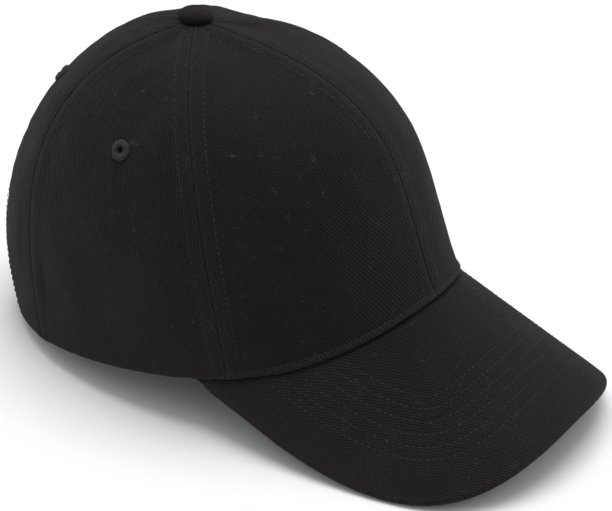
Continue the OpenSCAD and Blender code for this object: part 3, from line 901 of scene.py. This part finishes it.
def seam_tape(node, seam, layer, far):
    """One tape runs up a seam, over the button seat in its layer of the crossing, and down the
    opposite seam as far as the height given."""
    crossing, half = 0.94, 120
    t = np.concatenate([np.linspace(0.03, crossing, half), np.linspace(crossing, far, half)])[:, None]
    side = np.concatenate([np.ones(half), -np.ones(half)])[:, None]
    base = np.where(side > 0, seam, seam + 180)
    across = np.linspace(-1, 1, 13)
    reach = TAPE_WIDTH / 2 / np.linalg.norm(crown_along(base, t), axis=-1)
    a = base + side * across * reach
    stack = layer * (TAPE_THICK + 0.1) * ease((t - 0.72) / 0.2)
    edge = 0.12 * np.abs(across) ** 6
    run = np.arange(len(t))[:, None] * 1.5
    uv = np.stack(np.broadcast_arrays(across * TAPE_WIDTH / 2, run), -1)
    tape = crown_strip(f"{node}_cloth", a, np.repeat(t, 13, 1), TAPE_DEPTH + stack + edge,
                       TAPE_THICK - edge, uv, BLACK_TAPE, node)
    lines = []
    for offset in (-0.8, 0.8):
        ai, ti = (base + side * offset * reach)[:, 0], t[:, 0]
        normal = -crown_normal(ai, ti)
        lines.append((crown_face(ai, ti) + normal * (TAPE_DEPTH + TAPE_THICK + stack), normal))
    stitches = thread(f"{node}_stitches", lines)


def seam_tapes():
    seam_tape("seam_tape_centre", 0, 0, OPENING_RISE + 0.03)
    seam_tape("seam_tape_right_to_left", 60, 1, 0.03)
    seam_tape("seam_tape_left_to_right", -60, 2, 0.03)


def stiffeners():
    """A buckram sheet behind each front panel."""
    for side, sign in SIDES:
        a, t = np.meshgrid(np.linspace(0.8, 59.2, 40), np.linspace(0.02, 0.86, 70))
        u = (a - PANEL_SPAN / 2) * np.linalg.norm(crown_along(a, t), axis=-1)
        uv = np.stack([u, t * STIFFENER_CLIMB], -1)
        node = f"front_stiffener_{side}"
        piece = crown_strip(f"{node}_cloth", sign * a, t, 1.0, 0.6, uv, BUCKRAM, node)


def band_depth(a):
    """How deep the sweatband lies under the crown's face: deeper towards the back."""
    return 3.2 + 2.8 * ease((abs(a) - 96) / 22)


def sweatband():
    """The band hangs from the rim, rolls inwards and stands up inside, with a bound top edge."""
    round_band = np.linspace(-BAND_END, BAND_END, 300)
    roll = np.array([0.0035, 0.0045, 0.006, 0.009, 0.014, 0.02])
    share = np.array([0.3, 0.55, 0.78, 0.94, 1.0, 1.0])
    plain = np.linspace(0.03, BAND_TOP, 22)
    share = np.concatenate([share, np.ones(len(plain))])[:, None]
    a, t = np.meshgrid(round_band, np.concatenate([roll, plain]))
    wavy = 0.12 * crumple(a * BAND_RUN, t * 160, 71, 14, 40) * ease(t / 0.05)
    depth = 0.7 + (band_depth(a) - 0.7) * share + 0.12 + wavy
    band = crown_strip("sweatband_cloth", a, t, depth, BAND_THICK - 0.3, strip_uv(a, t), BAND_TWILL,
                       "sweatband")
    a, t = np.meshgrid(round_band, np.linspace(BAND_TOP - 0.03, BAND_TOP, 8))
    depth = band_depth(a) + BAND_THICK + 0.1
    binding = crown_strip("sweatband_binding", a, t, depth, 0.5, strip_uv(a, t), BLACK_TAPE,
                          "sweatband_tape")
    rows = []
    ai = np.linspace(-BAND_END + 1, BAND_END - 1, 900)
    for height, lift in ((0.022, -0.15), (BAND_TOP - 0.024, 0.62)):
        normal = -crown_normal(ai, height)
        deep = band_depth(ai) + BAND_THICK + lift
        rows.append((crown_face(ai, height) + normal * deep[:, None], normal))
    stitches = thread("sweatband_stitches", rows)


def pad():
    """The soft strip over the brow."""
    a, t = np.meshgrid(np.linspace(-42, 42, 90), np.linspace(0.03, BAND_TOP - 0.03, 16))
    piece = crown_strip("sweat_pad_felt", a, t, 2.6, 0.45, strip_uv(a, t), FELT, "sweat_pad")


def label():
    """The blank care label, sewn in by its top edge and a little curled below."""
    low, high = BAND_TOP + 0.02, BAND_TOP + 0.16
    a, t = np.meshgrid(np.linspace(-111, -99, 18), np.linspace(low, high, 24))
    curl = 0.5 * ease((high - t) / (high - low)) * (1 + 0.4 * np.sin(np.radians((a + 105) * 22)))
    piece = crown_strip("care_label_satin", a, t, 1.1 + curl, 0.25, strip_uv(a, t), SATIN,
                        "care_label")


def facing():
    """The folded strip inside the arch of the back opening, and its two rows of stitches."""
    rise, width, climb = OPENING_RISE * 1.04, 9, 0.075

    def edge(k, u):
        """The line that runs a share k of the way up the strip, at the angles u round the arch."""
        return 180 + (OPENING_ANGLE + 0.6 + k * width) * np.cos(u), (rise + k * climb) * np.sin(u)

    start = math.asin(0.14 / rise)
    u = np.linspace(math.pi - start, start, 120)
    k = np.linspace(1, 0, 9)[:, None]
    a, t = edge(k, u)
    uv = np.stack([np.broadcast_to(u * 50, a.shape), np.broadcast_to(k * 11, a.shape)], -1)
    piece = crown_strip("opening_facing_cloth", a, t, PANEL_THICK + 0.3, 0.4, uv, BLACK_TAPE,
                        "opening_facing")
    rows = []
    for k in (0.22, 0.72):
        a, t = edge(k, np.linspace(math.pi - 0.03, 0.03, 300))
        normal = crown_normal(a, t)
        rows.append((crown_face(a, t) + normal * 0.08, normal))
    thread("topstitch_opening", rows)


# --- Closure ---

STRAP_LOW, STRAP_HIGH, STRAP_THICK = 1.5, 19.5, 1.2
PIN_RADIUS = STRAP_RADIUS + 2.8
BAR_AT, STRAP_FROM, STRAP_TO = -33.4, -46, 65
UP = np.array([0, 0, 1])


def strap_path(radius, angles):
    """Points of the arc that the strap follows, and the ways out from it."""
    a = np.radians(angles)
    x, y = STRAP_CENTRE[0] + radius * np.sin(a), STRAP_CENTRE[1] + radius * np.cos(a)
    out = np.stack([np.sin(a), np.cos(a), 0 * a], -1)
    return np.stack([x, y, 0 * a], -1), out


def webbing(name, path, out, low, high, thick, body, node):
    """A folded and stitched strap along a path, with soft edges."""
    z = np.linspace(low, high, 17)
    edge = np.minimum(z - low, high - z)
    soft = thick * 0.32 * np.clip(1 - edge / 0.9, 0, 1) ** 2 + 0.1 * bump(edge, 2.0, 0.6)
    point = path[None] + UP * z[:, None, None]
    outer = point - out[None] * soft[:, None, None]
    inner = point - out[None] * (thick - soft)[:, None, None]
    along, z = np.meshgrid(arc_length(path), z)
    piece = slab(name, outer, inner, np.stack([along * 0.6 + z, along - z * 0.6], -1), body)
    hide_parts(node)
    lines = [(path + UP * h - out * 0.05, out) for h in (low + 2, high - 2)]
    stitches = thread(f"{name}_stitches", lines, body)
    paint(piece, BLACK_TWILL)


def closure():
    """The size strap, and the tab that is looped round the clasp's bar."""
    path, out = strap_path(STRAP_RADIUS, np.linspace(STRAP_FROM, STRAP_TO, 200))
    webbing("size_strap_cloth", path, out, STRAP_LOW, STRAP_HIGH, STRAP_THICK, "strap",
            "size_strap")
    bar_r, loop_r = PIN_RADIUS + 0.1, 2.1
    flat, flat_out = strap_path(bar_r - loop_r + 0.7, np.linspace(-51, BAR_AT - 0.4, 30))
    webbing("strap_tab_flat", flat, flat_out, STRAP_LOW + 0.1, STRAP_HIGH - 0.1, 0.6, "cap",
            "strap_tab")
    centre, way = strap_path(bar_r, np.array([BAR_AT]))
    tangent = np.cross(way[0], UP)
    turn = np.radians(np.linspace(-168, 168, 40))[:, None]
    loop_out = -(way[0] * np.cos(turn) + tangent * np.sin(turn))
    webbing("strap_tab_loop", centre[0] + loop_out * (loop_r - 0.05), loop_out,
            STRAP_LOW, STRAP_HIGH, 0.9, "cap", "strap_tab")


def metal_parts():
    """The CAD's own metal nodes, with rounded edges on the clasp."""
    for node in ("clasp_frame", "clasp_pin", "clasp_lever"):
        part = frame["nodes"][node]
        edge = part.modifiers.new("edges", "BEVEL")
        edge.width, edge.segments, edge.limit_method = 0.00022, 3, "ANGLE"
        edge.harden_normals = True
        paint(part, BRASS)
    for node in ("button_shell", "button_rivet"):
        paint(frame["nodes"][node], STEEL)


# --- Stage ---

VIEW_AZIMUTH, VIEW_ELEVATION, VIEW_ROLL = -56.90, 28.25, 1.03
VIEW_DISTANCE, VIEW_LENS = 0.854, 114.4
VIEW_TARGET = Vector((0.0179, 0.0017, 0.04196))
SKY_LOW, SKY_HIGH = 0.42, 1.05
LIGHT_SIZE, LIGHT_POWER, LIGHT_PLACE = 0.9, 12, Vector((0.0, -0.05, 1.35))
LIGHT_AIM = Vector((0, 0, 0.07))


def camera():
    """The view from above the wearer's front right, rolled a little."""
    a, e = math.radians(VIEW_AZIMUTH), math.radians(VIEW_ELEVATION)
    back = Vector((math.sin(a) * math.cos(e), -math.cos(a) * math.cos(e), math.sin(e)))
    right = Vector((math.cos(a), math.sin(a), 0))
    up = back.cross(right)
    turn = Matrix.Rotation(math.radians(VIEW_ROLL), 3, back)
    axes = Matrix((turn @ right, turn @ up, back)).transposed().to_4x4()
    eye = bpy.data.objects.new("camera", bpy.data.cameras.new("camera"))
    eye.data.lens, eye.data.sensor_width = VIEW_LENS, 36
    eye.data.clip_start, eye.data.clip_end = 0.01, 20
    eye.matrix_world = Matrix.Translation(VIEW_TARGET + back * VIEW_DISTANCE) @ axes
    SCENE.collection.objects.link(eye)
    SCENE.camera = eye


def soft_light():
    light = bpy.data.objects.new("top_light", bpy.data.lights.new("top_light", "AREA"))
    light.data.size, light.data.energy = LIGHT_SIZE, LIGHT_POWER
    light.location = LIGHT_PLACE
    light.rotation_euler = (LIGHT_PLACE - LIGHT_AIM).to_track_quat("Z", "Y").to_euler()
    SCENE.collection.objects.link(light)


def studio():
    """A pale floor under a white sky that is brightest overhead, with one broad soft light."""
    world = bpy.data.worlds.new("studio")
    world.use_nodes = True
    tree = world.node_tree
    spot, split = tree.nodes.new("ShaderNodeTexCoord"), tree.nodes.new("ShaderNodeSeparateXYZ")
    tree.links.new(spot.outputs["Generated"], split.inputs[0])
    rise = tree.nodes.new("ShaderNodeMapRange")
    ends = {"From Min": 0, "From Max": 0.9, "To Min": SKY_LOW, "To Max": SKY_HIGH}
    for key, value in ends.items():
        rise.inputs[key].default_value = value
    tree.links.new(split.outputs[2], rise.inputs["Value"])
    tree.links.new(rise.outputs[0], tree.nodes["Background"].inputs[1])
    tree.nodes["Background"].inputs[0].default_value = rgb(0.97, 0.98, 1)
    SCENE.world = world
    SCENE.view_settings.view_transform = "Standard"
    bpy.ops.mesh.primitive_plane_add(size=8)
    floor = bpy.context.object
    floor.name = "floor"
    paint(floor, Nodes("floor").finish(rgb(0.78, 0.78, 0.78), Roughness=0.9))
    soft_light()


# --- The cap ---

camera()
studio()
crown()
seam_threads()
rim_threads()
visor()
eyelets()
button()
seam_tapes()
stiffeners()
sweatband()
pad()
label()
facing()
closure()
metal_parts()
